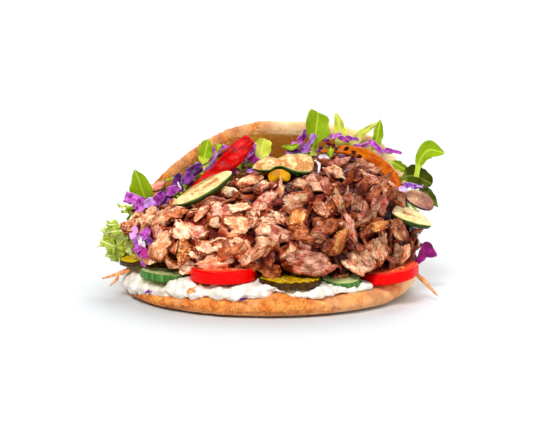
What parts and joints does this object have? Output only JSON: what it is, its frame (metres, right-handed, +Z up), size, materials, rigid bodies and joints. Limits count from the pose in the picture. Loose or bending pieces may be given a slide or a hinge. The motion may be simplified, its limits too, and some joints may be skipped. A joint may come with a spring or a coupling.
{
  "type": "doner kebab sandwich",
  "caption": "Round pocket flatbread cut open at the front and stuffed with white sauce, raw vegetable slices, shaved roast meat, salad and grilled vegetables.",
  "frame": {"origin": "middle of the flat spot that the bread rests on, on the table plane", "axes": "+Z up, +X to the right of someone facing the open mouth, -Y out of the mouth towards them"},
  "size_m": [0.2178, 0.1758, 0.1128],
  "materials": {
    "bread_crust": "baked golden crust with brown toasted patches, pale crumb on the cut edge",
    "white_sauce": "moist, lumpy white cheese sauce",
    "roast_meat": "shaved roast meat, moist, tan and pink with dark crisp edges",
    "mixed_salad": "mixed leaves and shredded red cabbage",
    "tomato": "smooth glossy skin, wet cut face",
    "cucumber": "dark green skin, pale wet cut face",
    "pickle": "crinkle cut, olive skin, translucent yellow face",
    "zucchini": "grilled pale flesh with brown marks, dark green skin",
    "red_pepper": "roasted, wet, with charred spots",
    "orange_pepper": "roasted, wet, with charred spots",
    "yellow_pepper": "roasted, wet",
    "aubergine": "grilled, mauve brown",
    "rocket": "fresh green leaf with a pale midrib",
    "lettuce": "crisp pale green leaf",
    "red_cabbage": "purple skin, white to lilac flesh",
    "carrot": "thin orange shreds"
  },
  "bodies": {
    "root": {"aubergine_slice": "aubergine", "bread": "bread_crust", "cabbage_leaf_low_right": "red_cabbage", "cabbage_shred_by_pepper": "red_cabbage", "cabbage_shred_left": "red_cabbage", "cabbage_shred_low_left": "red_cabbage", "cabbage_shred_middle": "red_cabbage", "cabbage_shred_right": "red_cabbage", "cabbage_shred_shoulder": "red_cabbage", "cabbage_shred_top": "red_cabbage", "cabbage_shred_top_right": "red_cabbage", "cabbage_shred_upper_left": "red_cabbage", "carrot_shred_left": "carrot", "carrot_shred_right": "carrot", "cucumber_slice_left": "cucumber", "cucumber_slice_right": "cucumber", "frisee_bunch_left": "lettuce", "lettuce_rib_middle": "lettuce", "lettuce_strip_leaning": "lettuce", "lettuce_strip_upright": "lettuce", "meat_heap": "roast_meat", "orange_pepper_strip": "orange_pepper", "pickle_slice_left": "pickle", "pickle_slice_middle": "pickle", "red_pepper_strip": "red_pepper", "rocket_leaf_left": "rocket", "rocket_leaf_right_curl": "rocket", "rocket_leaf_right_fold": "rocket", "rocket_leaf_right_low": "rocket", "rocket_leaf_right_tuck": "rocket", "rocket_leaf_shoulder": "rocket", "rocket_leaf_top": "rocket", "rocket_leaf_upper_left": "rocket", "salad_heap": "mixed_salad", "tomato_slice_left": "tomato", "tomato_slice_right": "tomato", "white_sauce": "white_sauce", "yellow_pepper_piece": "yellow_pepper", "zucchini_slice_left": "zucchini", "zucchini_slice_middle": "zucchini", "zucchini_slice_right": "zucchini"}
  },
  "joints": []
}
